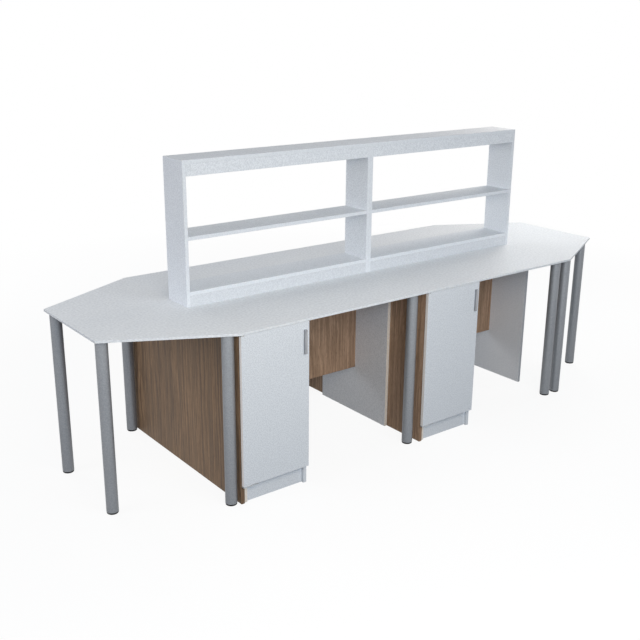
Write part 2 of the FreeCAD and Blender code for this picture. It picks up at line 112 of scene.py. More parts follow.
FLOOR_BOUNCE = "#505050"  # what the floor throws back at the bench
FLOOR_GLOW = 0.90  # share of the floor's look that is plain white to the camera
SHADOW_REACH = (2.2, 4.5)  # the bench's shadow fades out between these distances

COLOUR_MIX = {"data_type": "RGBA", "out": 2}  # a Mix node that blends colours, and its result
UNDER, OVER = 6, 7  # the numbers of its two colour inputs


def linear(hex_colour):
    """An sRGB hex colour as the linear one that a shader takes."""
    channels = [int(hex_colour[start:start + 2], 16) / 255 for start in (1, 3, 5)]
    bright = [c / 12.92 if c <= 0.04045 else ((c + 0.055) / 1.055) ** 2.4 for c in channels]
    return (*bright, 1.0)


def feed(tree, kind, inputs=None, out=0, **settings):
    """Add a shader node: its settings, and the value or the socket that feeds each input."""
    node = tree.nodes.new("ShaderNode" + kind)
    for name, value in settings.items():
        setattr(node, name, value)
    for socket, source in (inputs or {}).items():
        if isinstance(source, bpy.types.NodeSocket):
            tree.links.new(source, node.inputs[socket])
        else:
            node.inputs[socket].default_value = source
    return node.outputs[out] if node.outputs else None


def seen_directly(tree):
    """1 for what the camera, a reflection or clear glass shows, 0 for light on the bench."""
    mirrored = feed(tree, "Math", {0: feed(tree, "LightPath", out="Is Glossy Ray"),
                                   1: feed(tree, "LightPath", out="Is Transmission Ray")},
                    operation="MAXIMUM")
    return feed(tree, "Math", {0: feed(tree, "LightPath", out="Is Camera Ray"), 1: mirrored},
                operation="MAXIMUM")


def light_room():
    """A white room to look at, whose even light is softer than that white."""
    world = bpy.data.worlds.new("room")
    bpy.context.scene.world = world
    world.use_nodes = True
    tree = world.node_tree
    tree.nodes.clear()
    light = feed(tree, "Background", {"Color": linear(ROOM_LIGHT), "Strength": ROOM_STRENGTH})
    white = feed(tree, "Background", {"Color": WHITE, "Strength": 1.0})
    shown = feed(tree, "MixShader", {0: seen_directly(tree), 1: light, 2: white})
    feed(tree, "OutputWorld", {"Surface": shown})
    for name, place, aim, side, watts, colour in LAMPS:
        data = bpy.data.lights.new(name, "AREA")
        data.size = side
        data.energy = watts
        data.color = linear(colour)[:3]
        lamp = bpy.data.objects.new(name, data)
        lamp.location = place
        lamp.visible_camera = False
        lamp.rotation_euler = (Vector(aim) - Vector(place)).to_track_quat("-Z", "Y").to_euler()
        bpy.context.scene.collection.objects.link(lamp)


def lay_floor():
    """A plain white floor that keeps a faint shadow of the bench."""
    mesh = bpy.data.meshes.new("floor")
    half = FLOOR_SIDE / 2
    mesh.from_pydata([(-half, -half, 0), (half, -half, 0), (half, half, 0), (-half, half, 0)],
                     [], [(0, 1, 2, 3)])
    floor = bpy.data.objects.new("floor", mesh)
    bpy.context.scene.collection.objects.link(floor)
    floor.location.z = cad_low.z
    paint = bpy.data.materials.new("floor_paint")
    paint.use_nodes = True
    tree = paint.node_tree
    tree.nodes.clear()
    place = feed(tree, "TexCoord", out="Object")
    distance = feed(tree, "VectorMath", {0: place}, out="Value", operation="LENGTH")
    near, far = SHADOW_REACH
    glow = feed(tree, "MapRange", {"Value": distance, "From Min": near, "From Max": far,
                                   "To Min": FLOOR_GLOW, "To Max": 1.0})
    seen = seen_directly(tree)
    share = feed(tree, "Math", {0: seen, 1: glow}, operation="MULTIPLY")
    colour = feed(tree, "Mix", {0: seen, UNDER: linear(FLOOR_BOUNCE),
                                OVER: linear(FLOOR_SHOWN)}, **COLOUR_MIX)
    matt = feed(tree, "BsdfDiffuse", {"Color": colour})
    white = feed(tree, "Emission", {"Color": WHITE, "Strength": 1.0})
    shown = feed(tree, "MixShader", {0: share, 1: matt, 2: white})
    feed(tree, "OutputMaterial", {"Surface": shown})
    mesh.materials.append(paint)


# --- Finishes ----------------------------------------------------------------------------

BOARD_IOR = 1.5
PLASTIC_IOR = 1.53
EDGE_BELOW = 0.6  # a face is a board's edge where it faces the thin way less than this
GLUE_LINE, GLUE_SPREAD = 0.72, 0.09  # on the rounding, where it faces the thin way this much


def new_finish(name):
    """An empty material, its tree and the place on the bench in metres."""
    material = bpy.data.materials.new(name)
    material.use_nodes = True
    tree = material.node_tree
    tree.nodes.clear()
    return material, tree, feed(tree, "TexCoord", out="Object")


def blotches(tree, place, width_mm, detail=2.0, seed=0.0):
    """Noise from 0 to 1, with blots of one width or of one each for X, Y and Z.

    The seed moves the noise, so that two patterns of a finish don't line up.
    """
    widths = width_mm if isinstance(width_mm, tuple) else (width_mm,) * 3
    scale = tuple(1 / (width * MM) for width in widths)
    scaled = feed(tree, "VectorMath", {0: place, 1: scale, 2: (seed,) * 3},
                  operation="MULTIPLY_ADD")
    return feed(tree, "TexNoise", {"Vector": scaled, "Scale": 1.0, "Detail": detail})


def edge_of_board(tree, thin_way):
    """1 on the narrow edges of a board that is thin along one axis, and 1 on its glue line."""
    normal = feed(tree, "SeparateXYZ", {0: feed(tree, "TexCoord", out="Normal")}, out=thin_way)
    flatness = feed(tree, "Math", {0: normal}, operation="ABSOLUTE")
    edge = feed(tree, "Math", {0: flatness, 1: EDGE_BELOW}, operation="LESS_THAN")
    glue = feed(tree, "Math", {0: flatness, 1: GLUE_LINE, 2: GLUE_SPREAD}, operation="COMPARE")
    return edge, glue


PEARL_MM = 4.5
MELAMINE_MOTTLE_MM = 30
WIPED_MM = 260
BOARD_FACE = ("#D3D7DC", "#E7EBEF", "#E4E8EC")  # hollows, crests and paler patches
# Painted light: the knee panels' face, a lighter and warmer copy of the board face that paints
# in warm light thrown from the oak boards
KNEE_FACE_LIT = ("#DADBDD", "#EEEEF0", "#EBEBED")
WHITE_BAND = ("#D9DDE2", "#E3E7EB")  # hollows and crests
CREAM_BAND = ("#E6DCCF", "#F2EADF")
# Partly painted light: the doors' band is paler than the cream band, partly a whiter band and
# partly painted light on the doors' edges
DOOR_BAND_LIT = ("#F1EAE3", "#F8F3ED")
# Painted shade: a grey copy of the band for the right knee panel, standing in for the shade on
# its edge
GREY_BAND_SHADED = ("#ADB0B4", "#B8BBBF")
BOARD_GLUE = "#8C867E"
BOARD_GLUE_SHARE = 0.3
# Painted shade: a grey painted low on the shelf's fascia where it stands on the worktop,
# strongest at the worktop
WORKTOP_SHADE = "#B9BCC0"
WORKTOP_SHADE_SHARE = 0.32
WORKTOP_SHADE_RISE = (0.80, 0.84)  # the painted shade ends between these heights


def melamine(name, face, band, thin_way, worktop_shaded=False):
    """Melamine-faced board with an ABS band glued to its edges.

    The press plate leaves a fine pearl texture, which scatters the light and gives a matt
    white with a faint mottle. It is about 1 mm on the real board, and is drawn at 4.5 mm so
    that it still shows from across a room. The glue line is a thin darker line. Boards that
    stand on the worktop get a painted shade along it, a grey mixed into their colour low down
    where the worktop meets them.
    """
    material, tree, place = new_finish(name)
    pearl = blotches(tree, place, PEARL_MM, detail=1.0)
    mottle = blotches(tree, place, MELAMINE_MOTTLE_MM, seed=7.0)
    wiped = blotches(tree, place, WIPED_MM, seed=3.0)
    hollow, crest, pale = (linear(shade) for shade in face)
    spot = feed(tree, "MapRange", {"Value": pearl, "From Min": 0.35, "From Max": 0.65})
    colour = feed(tree, "Mix", {0: spot, UNDER: hollow, OVER: crest}, **COLOUR_MIX)
    patch = feed(tree, "MapRange", {"Value": mottle, "From Min": 0.45, "From Max": 0.75,
                                    "To Max": 0.12})
    colour = feed(tree, "Mix", {0: patch, UNDER: colour, OVER: pale}, **COLOUR_MIX)
    edge, glue = edge_of_board(tree, thin_way)
    strip = feed(tree, "Mix", {0: spot, UNDER: linear(band[0]), OVER: linear(band[1])},
                 **COLOUR_MIX)
    colour = feed(tree, "Mix", {0: edge, UNDER: colour, OVER: strip}, **COLOUR_MIX)
    line = feed(tree, "Math", {0: glue, 1: BOARD_GLUE_SHARE}, operation="MULTIPLY")
    colour = feed(tree, "Mix", {0: line, UNDER: colour, OVER: linear(BOARD_GLUE)}, **COLOUR_MIX)
    # Painted shade: grey mixed into the colour low on the board, where it meets the worktop
    if worktop_shaded:
        rise = feed(tree, "SeparateXYZ", {0: place}, out=Z)
        full, gone = WORKTOP_SHADE_RISE
        worktop_shade = feed(tree, "MapRange", {"Value": rise, "From Min": full, "From Max": gone,
                                       "To Min": WORKTOP_SHADE_SHARE, "To Max": 0.0})
        colour = feed(tree, "Mix", {0: worktop_shade, UNDER: colour, OVER: linear(WORKTOP_SHADE)}, **COLOUR_MIX)
    matt = feed(tree, "MapRange", {"Value": wiped, "From Min": 0.3, "From Max": 0.7,
                                   "To Min": 0.50, "To Max": 0.60})
    bumps = feed(tree, "Bump", {"Height": pearl, "Distance": 0.12 * MM, "Strength": 1.0})
    shader = feed(tree, "BsdfPrincipled", {"Base Color": colour, "Roughness": matt,
                                           "IOR": BOARD_IOR, "Specular IOR Level": 0.3,
                                           "Normal": bumps})
    feed(tree, "OutputMaterial", {"Surface": shader})
    return material


LAMINATE_GRIT_MM = 10
LAMINATE_MOTTLE_MM = 45
LAMINATE_CLOUD_MM = 400
LAMINATE = ("#D8DBDE", "#EEF1F3", "#D8DCE0")  # hollows, crests and duller patches


def compact_laminate():
    """Compact high-pressure laminate: a dense pale sheet with a fine satin grit.

    The grit is under 1 mm on the real sheet, and is drawn at 10 mm, because the top is
    mostly seen at a low angle.
    """
    material, tree, place = new_finish("compact_laminate")
    grit = blotches(tree, place, LAMINATE_GRIT_MM, detail=3.0)
    mottle = blotches(tree, place, LAMINATE_MOTTLE_MM, seed=5.0)
    cloud = blotches(tree, place, LAMINATE_CLOUD_MM, seed=11.0)
    hollow, crest, dull = (linear(shade) for shade in LAMINATE)
    spot = feed(tree, "MapRange", {"Value": grit, "From Min": 0.3, "From Max": 0.7})
    colour = feed(tree, "Mix", {0: spot, UNDER: hollow, OVER: crest}, **COLOUR_MIX)
    patch = feed(tree, "MapRange", {"Value": mottle, "From Min": 0.45, "From Max": 0.75,
                                    "To Max": 0.2})
    colour = feed(tree, "Mix", {0: patch, UNDER: colour, OVER: dull}, **COLOUR_MIX)
    satin = feed(tree, "MapRange", {"Value": cloud, "From Min": 0.3, "From Max": 0.7,
                                    "To Min": 0.53, "To Max": 0.63})
    bumps = feed(tree, "Bump", {"Height": grit, "Distance": 0.08 * MM, "Strength": 1.0})
    shader = feed(tree, "BsdfPrincipled", {"Base Color": colour, "Roughness": satin,
                                           "IOR": BOARD_IOR, "Specular IOR Level": 0.3,
                                           "Normal": bumps})
    feed(tree, "OutputMaterial", {"Surface": shader})
    return material


GRAIN_WANDER_MM = (260, 260, 520)
GRAIN_STRAYS = 0.05  # how far the grain strays from straight
TONE_BAND_MM = (90, 90, 1600)
STREAK_LENGTH_MM = 700
FIBRE_MM = (6, 6, 120)
PORE_MM = (3, 3, 26)
OAK = ("#7B604B", "#B19077", "#CAAA8C", "#554233")  # dark, middle, light and pore shade
OAK_STREAK_MM = 11
# Painted shade: a darker, browner copy of the oak for the left end panel, which stands in the
# shade under the end table
SHADED_END_OAK = ("#584332", "#A28265", "#A98C6D", "#4A392C")
END_OAK_STREAK_MM = 10
OAK_BAND_SHARE = 0.6  # how much of the edge band's shade is the dark one
OAK_GLUE_SHARE = 0.6


def oak_melamine(name, shades, streak_mm, thin_way):
    """Board faced with an oak decor: straight upright grain, matt, with shallow pressed pores.

    Wide tone bands, narrower streaks and fine fibres run with the grain, and short dark
    pores lie along it. The band on the edges is a darker brown. The fibres are drawn at
    6 mm and the pores at 3 mm, several times their real width, to show.
    """
    material, tree, place = new_finish(name)
    wander = blotches(tree, place, GRAIN_WANDER_MM, seed=21.0)
    aside = feed(tree, "CombineXYZ", {"X": wander, "Y": wander})
    place = feed(tree, "VectorMath", {0: aside, 1: (GRAIN_STRAYS, GRAIN_STRAYS, 0.0), 2: place},
                 operation="MULTIPLY_ADD")
    tones = blotches(tree, place, TONE_BAND_MM)
    streaks = blotches(tree, place, (streak_mm, streak_mm, STREAK_LENGTH_MM), detail=1.0,
                       seed=4.0)
    fibres = blotches(tree, place, FIBRE_MM, seed=8.0)
    pores = blotches(tree, place, PORE_MM, detail=1.0, seed=15.0)
    dark, middle, light, pore_shade = (linear(shade) for shade in shades)
    streak = feed(tree, "MapRange", {"Value": streaks, "From Min": 0.38, "From Max": 0.62})
    colour = feed(tree, "Mix", {0: streak, UNDER: dark, OVER: middle}, **COLOUR_MIX)
    tone = feed(tree, "MapRange", {"Value": tones, "From Min": 0.35, "From Max": 0.68,
                                   "To Min": 0.27, "To Max": 0.37})
    colour = feed(tree, "Mix", {0: tone, UNDER: colour, OVER: light}, **COLOUR_MIX)
    fibre = feed(tree, "MapRange", {"Value": fibres, "From Min": 0.42, "From Max": 0.7,
                                    "To Max": 0.55})
    colour = feed(tree, "Mix", {0: fibre, UNDER: colour, OVER: dark}, **COLOUR_MIX)
    pore = feed(tree, "MapRange", {"Value": pores, "From Min": 0.55, "From Max": 0.68,
                                   "To Max": 0.35})
    colour = feed(tree, "Mix", {0: pore, UNDER: colour, OVER: pore_shade}, **COLOUR_MIX)
    edge, glue = edge_of_board(tree, thin_way)
    band = feed(tree, "Math", {0: edge, 1: OAK_BAND_SHARE}, operation="MULTIPLY")
    colour = feed(tree, "Mix", {0: band, UNDER: colour, OVER: dark}, **COLOUR_MIX)
    line = feed(tree, "Math", {0: glue, 1: OAK_GLUE_SHARE}, operation="MULTIPLY")
    colour = feed(tree, "Mix", {0: line, UNDER: colour, OVER: pore_shade}, **COLOUR_MIX)
    depth = feed(tree, "Math", {0: fibre, 1: pore}, operation="ADD")
    matt = feed(tree, "MapRange", {"Value": streaks, "From Min": 0.3, "From Max": 0.7,
                                   "To Min": 0.48, "To Max": 0.60})
    bumps = feed(tree, "Bump", {"Height": depth, "Distance": -0.12 * MM, "Strength": 1.0})
    shader = feed(tree, "BsdfPrincipled", {"Base Color": colour, "Roughness": matt,
                                           "IOR": BOARD_IOR, "Specular IOR Level": 0.3,
                                           "Normal": bumps})
    feed(tree, "OutputMaterial", {"Surface": shader})
    return material


COAT_PEEL_MM = 3
COAT_FLAKE_MM = 3
HANDLED_MM = (80, 80, 300)
SILVER = ("#8E9195", "#A1A4A8")  # the darkest and the brightest flake
WORN_SILVER = "#7D8085"
# Painted shade: the tubes' colour turns darker towards the floor
LOWER_SHADE_SILVER = "#6E7176"
LOWER_SHADE_SHARE = 0.3
LOWER_SHADE_RISE = (0.05, 0.70)  # from full to none between these heights


def powder_coat():
    """Silver-grey powder coat on steel tube: satin, with an orange-peel skin and a fine flake.

    Flake and peel are drawn at 3 mm, coarser than the real half millimetre, to show. The
    tubes turn darker towards the floor, which is painted shade in their colour.
    """
    material, tree, place = new_finish("silver_powder_coat")
    peel = blotches(tree, place, COAT_PEEL_MM, detail=1.0)
    flakes = feed(tree, "TexVoronoi", {"Vector": place, "Scale": 1 / (COAT_FLAKE_MM * MM)},
                  out="Color")
    flake = feed(tree, "SeparateColor", {"Color": flakes})
    handled = blotches(tree, place, HANDLED_MM, detail=1.0, seed=9.0)
    colour = feed(tree, "Mix", {0: flake, UNDER: linear(SILVER[0]), OVER: linear(SILVER[1])},
                  **COLOUR_MIX)
    worn = feed(tree, "MapRange", {"Value": handled, "From Min": 0.35, "From Max": 0.7,
                                   "To Max": 0.2})
    colour = feed(tree, "Mix", {0: worn, UNDER: colour, OVER: linear(WORN_SILVER)},
                  **COLOUR_MIX)
    # Painted shade: a darker grey mixed in towards the floor
    rise = feed(tree, "SeparateXYZ", {0: place}, out=Z)
    full, gone = LOWER_SHADE_RISE
    lower_shade = feed(tree, "MapRange", {"Value": rise, "From Min": full, "From Max": gone,
                                     "To Min": LOWER_SHADE_SHARE, "To Max": 0.0})
    colour = feed(tree, "Mix", {0: lower_shade, UNDER: colour, OVER: linear(LOWER_SHADE_SILVER)},
                  **COLOUR_MIX)
    satin = feed(tree, "MapRange", {"Value": handled, "From Min": 0.3, "From Max": 0.7,
                                    "To Min": 0.40, "To Max": 0.52})
    bumps = feed(tree, "Bump", {"Height": peel, "Distance": 0.05 * MM, "Strength": 1.0})
    shader = feed(tree, "BsdfPrincipled", {"Base Color": colour, "Metallic": 0.35,
                                           "Roughness": satin, "Specular IOR Level": 0.3,
                                           "Normal": bumps})
    feed(tree, "OutputMaterial", {"Surface": shader})
    return material


SCUFF_MM = 9
SCUFF_ROUGHENS = 0.18
POLYAMIDE = ("#0E0E0F", "#191A1B")  # clean and scuffed
POLYAMIDE_GRIT_MM, POLYAMIDE_ROUGHNESS = 0.7, 0.5
RUBBER = ("#3B3C3E", "#4A4B4D")
RUBBER_GRIT_MM, RUBBER_ROUGHNESS = 1.0, 0.6


def moulded_plastic(name, shades, grit_mm, roughness):
    """Plastic or rubber from a spark-eroded mould: an even dull sheen with light scuffs."""
    material, tree, place = new_finish(name)
    grit = blotches(tree, place, grit_mm)
    scuffs = blotches(tree, place, SCUFF_MM, detail=4.0, seed=6.0)
    clean, scuffed = (linear(shade) for shade in shades)
    scuff = feed(tree, "MapRange", {"Value": scuffs, "From Min": 0.45, "From Max": 0.8})
    colour = feed(tree, "Mix", {0: scuff, UNDER: clean, OVER: scuffed}, **COLOUR_MIX)
    dull = feed(tree, "MapRange", {"Value": scuffs, "From Min": 0.3, "From Max": 0.7,
                                   "To Min": roughness, "To Max": roughness + SCUFF_ROUGHENS})
    bumps = feed(tree, "Bump", {"Height": grit, "Distance": 0.04 * MM, "Strength": 1.0})
    shader = feed(tree, "BsdfPrincipled", {"Base Color": colour, "Roughness": dull,
                                           "IOR": PLASTIC_IOR, "Specular IOR Level": 0.15,
                                           "Normal": bumps})
    feed(tree, "OutputMaterial", {"Surface": shader})
    return material


HAIRLINE_MM = (0.8, 0.8, 60)
ANODISING_MM = (6, 6, 40)
ALUMINIUM = ("#94969A", "#A6A8AC")


def brushed_aluminium():
    """Brushed and anodised aluminium: grey, with hairlines along the bar.

    The hairlines are drawn at 0.8 mm, wider than the real tenth of a millimetre.
    """
    material, tree, place = new_finish("brushed_aluminium")
    hairlines = blotches(tree, place, HAIRLINE_MM, detail=3.0)
    anodising = blotches(tree, place, ANODISING_MM, seed=3.0)
    dark, bright = (linear(shade) for shade in ALUMINIUM)
    tint = feed(tree, "MapRange", {"Value": anodising, "From Min": 0.3, "From Max": 0.7})
    colour = feed(tree, "Mix", {0: tint, UNDER: dark, OVER: bright}, **COLOUR_MIX)
    satin = feed(tree, "MapRange", {"Value": hairlines, "From Min": 0.3, "From Max": 0.7,
                                    "To Min": 0.32, "To Max": 0.48})
    scratches = feed(tree, "Bump", {"Height": hairlines, "Distance": 0.02 * MM,
                                    "Strength": 1.0})
    shader = feed(tree, "BsdfPrincipled", {"Base Color": colour, "Metallic": 1.0,
                                           "Roughness": satin, "Normal": scratches})
    feed(tree, "OutputMaterial", {"Surface": shader})
    return material


PASSIVATION_MM = 7
ROLLING_MARK_MM = (0.8, 9, 0.8)
ZINC = ("#A7ABAE", "#C3C8CC")


def zinc_plate():
    """Bright zinc plating on steel: pale metal with a cloudy, faintly blue passivation."""
    material, tree, place = new_finish("zinc_plate")
    clouds = blotches(tree, place, PASSIVATION_MM, detail=4.0)
    rolling = blotches(tree, place, ROLLING_MARK_MM, seed=5.0)
    dark, pale = (linear(shade) for shade in ZINC)
    cloud = feed(tree, "MapRange", {"Value": clouds, "From Min": 0.3, "From Max": 0.7})
    colour = feed(tree, "Mix", {0: cloud, UNDER: dark, OVER: pale}, **COLOUR_MIX)
    bright = feed(tree, "MapRange", {"Value": clouds, "From Min": 0.3, "From Max": 0.7,
                                     "To Min": 0.28, "To Max": 0.45})
    bumps = feed(tree, "Bump", {"Height": rolling, "Distance": 0.02 * MM, "Strength": 1.0})
    shader = feed(tree, "BsdfPrincipled", {"Base Color": colour, "Metallic": 1.0,
                                           "Roughness": bright, "Normal": bumps})
    feed(tree, "OutputMaterial", {"Surface": shader})
    return material


THIN_ALONG_X = ("wood_panel", "side_panel", "cabinet_liner", "cabinet_side", "shelf_upright")
THIN_ALONG_Y = ("door", "modesty", "cabinet_dividers", "cabinet_plinths", "shelf_fascias")


def thin_way_of(node_name):
    """The axis along which a board is 16 mm thick."""
    if node_name.startswith(THIN_ALONG_X):
        return X
    return Y if node_name.startswith(THIN_ALONG_Y) else Z


def make_finishes():
    """Every finish by its material slot: one for a slot, or one for each way a board is thin."""
    white = [melamine("white_melamine_" + "xyz"[way], BOARD_FACE, WHITE_BAND, way)
             for way in (X, Y, Z)]
    oak = [oak_melamine("oak_melamine_" + "xy"[way], OAK, OAK_STREAK_MM, way)
           for way in (X, Y)]
    return {"white_board": white,
            "shelf_board": white,
            "wood_board": oak,
            "worktop_laminate": compact_laminate(),
            "leg_tube": powder_coat(),
            "foot_plastic": moulded_plastic("black_polyamide", POLYAMIDE, POLYAMIDE_GRIT_MM,
                                            POLYAMIDE_ROUGHNESS),
            "handle_metal": brushed_aluminium(),
            "hardware_steel": zinc_plate()}


def dress_frame():
    """Give every piece of the frame the finish of its material slot.

    The middle knee panel and the cupboards' liners have a cream band instead of a white one.
    Both knee panels have a lighter, warmer face, painted light thrown from the oak boards.
    The doors have a paler cream band, partly a whiter band and partly painted light on their
    edges, and the right knee panel a grey band, painted shade on its edge. The big panel at
    the left end has a darker oak, painted shade under the end table. The shelf's fascias
    carry a painted shade where they stand on the worktop.
    """
    by_start = {"shelf_fascias": melamine("worktop_shaded_melamine", BOARD_FACE, WHITE_BAND, Y,
                                          worktop_shaded=True),
                "door": melamine("door_melamine", BOARD_FACE, DOOR_BAND_LIT, Y),
                "cabinet_liner": melamine("cream_banded_melamine", BOARD_FACE, CREAM_BAND, X),
                "side_panel_centre": melamine("knee_melamine_cream", KNEE_FACE_LIT, CREAM_BAND, X),
                "side_panel_right": melamine("knee_melamine_grey", KNEE_FACE_LIT, GREY_BAND_SHADED, X),
                # painted shade: the left end panel gets the darker copy of the oak
                "wood_panel_left": oak_melamine("shaded_end_oak_melamine", SHADED_END_OAK,
                                                END_OAK_STREAK_MM, X)}
    for subpart in frame["record"]["subparts"]:
        name = subpart["node"]
        finish = finishes[subpart["material_slot"]]
        if isinstance(finish, list):
            finish = finish[thin_way_of(name)]
        for start, special in by_start.items():
            if name.startswith(start):
                finish = special
        mesh = frame["nodes"][name].data
        mesh.materials.clear()
        mesh.materials.append(finish)


# --- Small fittings ----------------------------------------------------------------------

SMOOTH_BELOW = math.radians(32)
FACING_UP = Matrix.Identity(4)
FACING_DOWN = Matrix.Rotation(math.pi, 4, "X")
FACING_RIGHT = Matrix.Rotation(math.pi / 2, 4, "Y")
FACING_LEFT = Matrix.Rotation(-math.pi / 2, 4, "Y")
FACING_BACK = Matrix.Rotation(-math.pi / 2, 4, "X")
FACING_FRONT = Matrix.Rotation(math.pi / 2, 4, "X")


def turned(profile_mm, sides=24):
    """A solid turned about Z from its (radius, height) profile, which ends on the axis."""
    form = bmesh.new()
    angles = [math.tau * side / sides for side in range(sides)]
    rings = [[form.verts.new((radius * MM * math.cos(a), radius * MM * math.sin(a), height * MM))
              for a in (angles if radius else angles[:1])] for radius, height in profile_mm]
    for low, high in zip(rings, rings[1:]):
        for side in range(sides):
            after = (side + 1) % sides
            corners = (low[side % len(low)], low[after % len(low)],
                       high[after % len(high)], high[side % len(high)])
            form.faces.new(list(dict.fromkeys(corners)))
    bmesh.ops.recalc_face_normals(form, faces=form.faces)
    return form


def less(form, tool):
    """The form with the tool's shape cut out of it."""
    pair = []
    for source in (form, tool):
        mesh = bpy.data.meshes.new("cutting")
        source.to_mesh(mesh)
        source.free()
        pair.append(bpy.data.objects.new("cutting", mesh))
        bpy.context.scene.collection.objects.link(pair[-1])
    cutter = pair[0].modifiers.new("cut", "BOOLEAN")
    cutter.operation = "DIFFERENCE"
    cutter.solver = "EXACT"
    cutter.object = pair[1]
    carved = bmesh.new()
    carved.from_mesh(pair[0].evaluated_get(bpy.context.evaluated_depsgraph_get()).to_mesh())
    for thing in pair:
        bpy.data.meshes.remove(thing.data)
    return carved


CROWN_TURNS = (0, 20, 40, 60, 78)  # degrees round the curve of a screw head, seen from a side
QUARTER_TURNS = ((1, 0), (0, 1), (-1, 0), (0, -1))  # cosine and sine


def pan_head(radius_mm, height_mm):
    """The head of a pan-head screw, its seat at Z 0, with a tapered cross recess."""
    wall = 0.35 * height_mm
    crown = [(radius_mm * math.cos(math.radians(turn)),
              wall + (height_mm - wall) * math.sin(math.radians(turn)))
             for turn in CROWN_TURNS]
    head = turned([(0, 0), (radius_mm, 0), *crown, (0, height_mm)])
    reach, half_width = 0.55 * radius_mm, 0.13 * radius_mm
    arm = [(reach, half_width), (half_width, half_width), (half_width, reach)]
    outline = [(x * c - y * s, x * s + y * c) for c, s in QUARTER_TURNS for x, y in arm]
    outline = list(dict.fromkeys((round(x, 6), round(y, 6)) for x, y in outline))
    above = (1.15, 1.3 * height_mm)  # share of the outline and height
    floor = (0.6, 0.3 * height_mm)
    recess = bmesh.new()
    rims = [[recess.verts.new((x * share * MM, y * share * MM, height * MM))
             for x, y in outline] for share, height in (above, floor)]
    recess.faces.new(rims[0])
    recess.faces.new(rims[1][::-1])
    for spot in range(len(outline)):
        after = (spot + 1) % len(outline)
        recess.faces.new((rims[0][spot], rims[1][spot], rims[1][after], rims[0][after]))
    bmesh.ops.recalc_face_normals(recess, faces=recess.faces)
    return less(head, recess)


THREAD_RUNOUT_MM = 1
TIP_SHARE = 0.8  # the chamfered tip's radius as a share of the thread root's


def threaded_rod(radius_mm, root_mm, pitch_mm, low_mm, high_mm, sides=20):
    """A rod with a V thread, which runs out into a chamfer at the top."""
    form = bmesh.new()
    turns = int((high_mm - low_mm - THREAD_RUNOUT_MM) / pitch_mm)
    crests, roots = [], []
    for step in range(turns * sides + 1):
        angle = math.tau * step / sides
        rise = low_mm + pitch_mm * step / sides
        for line, radius, lift in ((crests, radius_mm, 0), (roots, root_mm, pitch_mm / 2)):
            line.append(form.verts.new((radius * MM * math.cos(angle),
                                        radius * MM * math.sin(angle), (rise + lift) * MM)))
    for step in range(turns * sides):
        form.faces.new((crests[step], crests[step + 1], roots[step + 1], roots[step]))
        if step + sides < len(crests) - 1:
            form.faces.new((roots[step], roots[step + 1], crests[step + 1 + sides],
                            crests[step + sides]))
    for edges, height, radius in ((crests[:sides + 1], low_mm, root_mm),
                                  (roots[-sides - 1:], high_mm, TIP_SHARE * root_mm)):
        rim = [form.verts.new((radius * MM * math.cos(math.tau * side / sides),
                               radius * MM * math.sin(math.tau * side / sides), height * MM))
               for side in range(sides)]
        form.faces.new(rim)
        for side in range(sides):
            form.faces.new((edges[side], edges[side + 1], rim[(side + 1) % sides], rim[side]))
    bmesh.ops.recalc_face_normals(form, faces=form.faces)
    return form


def copies(form, spots):
    """One mesh that holds the form at each of the spots."""
    pattern = bpy.data.meshes.new("pattern")
    form.to_mesh(pattern)
    form.free()
    many = bmesh.new()
    for spot in spots:
        start = len(many.verts)
        many.from_mesh(pattern)
        many.verts.ensure_lookup_table()
        bmesh.ops.transform(many, matrix=spot, verts=many.verts[start:])
    bpy.data.meshes.remove(pattern)
    return many


def fit(form, name, body, slot_name, finish=None):
    """Make a form a piece of the bench that rides on one of its bodies."""
    mesh = bpy.data.meshes.new(name)
    form.to_mesh(mesh)
    form.free()
    mesh.shade_smooth()
    mesh.set_sharp_from_angle(angle=SMOOTH_BELOW)
    mesh.materials.append(finish or finishes[slot_name])
    piece = bpy.data.objects.new(name, mesh)
    bpy.context.scene.collection.objects.link(piece)
    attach(piece, body)
    return piece


SAME_CORNER = 0.001 * MM  # corners of the frame closer than this are one


def solids_of(node_name):
    """The corner points of each separate solid in a piece of the frame, left to right."""
    form = bmesh.new()
    form.from_mesh(frame["nodes"][node_name].data)
    bmesh.ops.remove_doubles(form, verts=form.verts, dist=SAME_CORNER)
    unseen, solids = set(form.verts), []
    while unseen:
        solid, border = [], [unseen.pop()]
        while border:
            corner = border.pop()
            solid.append(corner.co.copy())
            for edge in corner.link_edges:
                other = edge.other_vert(corner)
                if other in unseen:
                    unseen.remove(other)
                    border.append(other)
        solids.append(solid)
    form.free()
    return sorted(solids, key=lambda solid: tuple(round(c, 4) for c in sum(solid, Vector())))


def corners_of(solid):
    """The lowest and the highest corner of a solid's box."""
    return (Vector(min(p[axis] for p in solid) for axis in (X, Y, Z)),
            Vector(max(p[axis] for p in solid) for axis in (X, Y, Z)))


def at(x, y, z, facing):
    """A place for a fitting whose own Z axis faces that way."""
    return Matrix.Translation((x, y, z)) @ facing


BRACKET_SKIN = 2.5 * MM
BRACKET_HOLE = 10 * MM  # screw's middle from the bracket's ends
BRACKET_SCREW_MM = (3.5, 2.2)  # a head's radius and height


